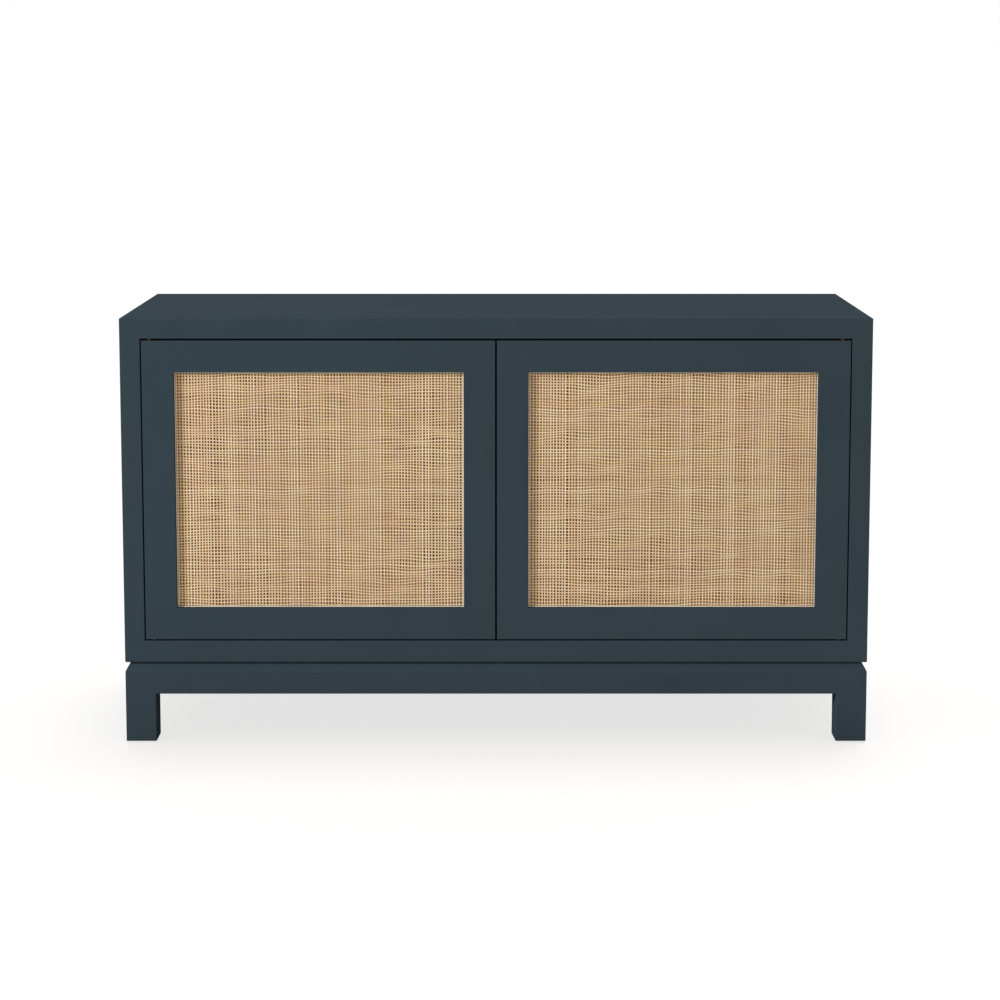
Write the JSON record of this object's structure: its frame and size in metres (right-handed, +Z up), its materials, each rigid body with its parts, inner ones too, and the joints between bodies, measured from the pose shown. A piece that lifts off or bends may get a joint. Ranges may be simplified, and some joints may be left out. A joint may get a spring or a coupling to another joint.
{
  "type": "media chest",
  "caption": "Low media chest with a mitred lacquered case on a square-legged base, inset push-open doors with recessed woven raffia panels, adjustable shelves and rear cable ports.",
  "frame": {"origin": "on the floor, midway between the sides and between front and back", "axes": "+X to the viewer's right along the front, +Y towards the back, +Z up"},
  "size_m": [1.22, 0.457, 0.703],
  "materials": {
    "lacquer": "satin slate-navy lacquer",
    "raffia": "natural woven raffia on a board",
    "raw_wood": "unfinished beech",
    "nylon": "matte dark nylon",
    "brass": "brushed brass",
    "steel": "nickel-plated steel"
  },
  "bodies": {
    "case": {"case_top": "lacquer", "case_bottom": "lacquer", "case_side_left": "lacquer", "case_side_right": "lacquer", "centre_divider": "lacquer", "back_panel": "lacquer", "shelf_left": "lacquer", "shelf_right": "lacquer", "shelf_pin_left_side_front": "steel", "shelf_pin_left_side_back": "steel", "shelf_pin_left_divider_front": "steel", "shelf_pin_left_divider_back": "steel", "shelf_pin_right_side_front": "steel", "shelf_pin_right_side_back": "steel", "shelf_pin_right_divider_front": "steel", "shelf_pin_right_divider_back": "steel", "leg_front_left": "lacquer", "leg_front_right": "lacquer", "leg_back_left": "lacquer", "leg_back_right": "lacquer", "apron_front": "lacquer", "apron_back": "lacquer", "apron_left": "lacquer", "apron_right": "lacquer", "corner_block_front_left": "raw_wood", "corner_block_front_right": "raw_wood", "corner_block_back_left": "raw_wood", "corner_block_back_right": "raw_wood", "foot_glide_front_left": "nylon", "foot_glide_front_right": "nylon", "foot_glide_back_left": "nylon", "foot_glide_back_right": "nylon", "cable_grommet_left": "nylon", "cable_grommet_right": "nylon", "left_touch_latch_body": "nylon", "right_touch_latch_body": "nylon", "left_upper_hinge_case_leaf": "brass", "left_lower_hinge_case_leaf": "brass", "right_upper_hinge_case_leaf": "brass", "right_lower_hinge_case_leaf": "brass"},
    "left_door": {"left_door_hinge_stile": "lacquer", "left_door_latch_stile": "lacquer", "left_door_top_rail": "lacquer", "left_door_bottom_rail": "lacquer", "left_door_raffia_panel": "raffia", "left_strike_plate": "steel", "left_upper_hinge_door_leaf": "brass", "left_lower_hinge_door_leaf": "brass"},
    "right_door": {"right_door_hinge_stile": "lacquer", "right_door_latch_stile": "lacquer", "right_door_top_rail": "lacquer", "right_door_bottom_rail": "lacquer", "right_door_raffia_panel": "raffia", "right_strike_plate": "steel", "right_upper_hinge_door_leaf": "brass", "right_lower_hinge_door_leaf": "brass"},
    "left_plunger": {"left_latch_plunger": "steel"},
    "right_plunger": {"right_latch_plunger": "steel"}
  },
  "joints": [
    {"name": "left_door_swing", "type": "hinge", "parent": "case", "child": "left_door", "pos_m": [-0.562, -0.2215, 0.4207], "axis": [0, 0, -1], "range_deg": [0, 110]},
    {"name": "right_door_swing", "type": "hinge", "parent": "case", "child": "right_door", "pos_m": [0.562, -0.2215, 0.4207], "axis": [0, 0, 1], "range_deg": [0, 110]},
    {"name": "left_latch_push", "type": "slide", "parent": "case", "child": "left_plunger", "axis": [0, 1, 0], "range_m": [0, 0.003], "stiffness_N_per_m": 300},
    {"name": "right_latch_push", "type": "slide", "parent": "case", "child": "right_plunger", "axis": [0, 1, 0], "range_m": [0, 0.003], "stiffness_N_per_m": 300}
  ]
}
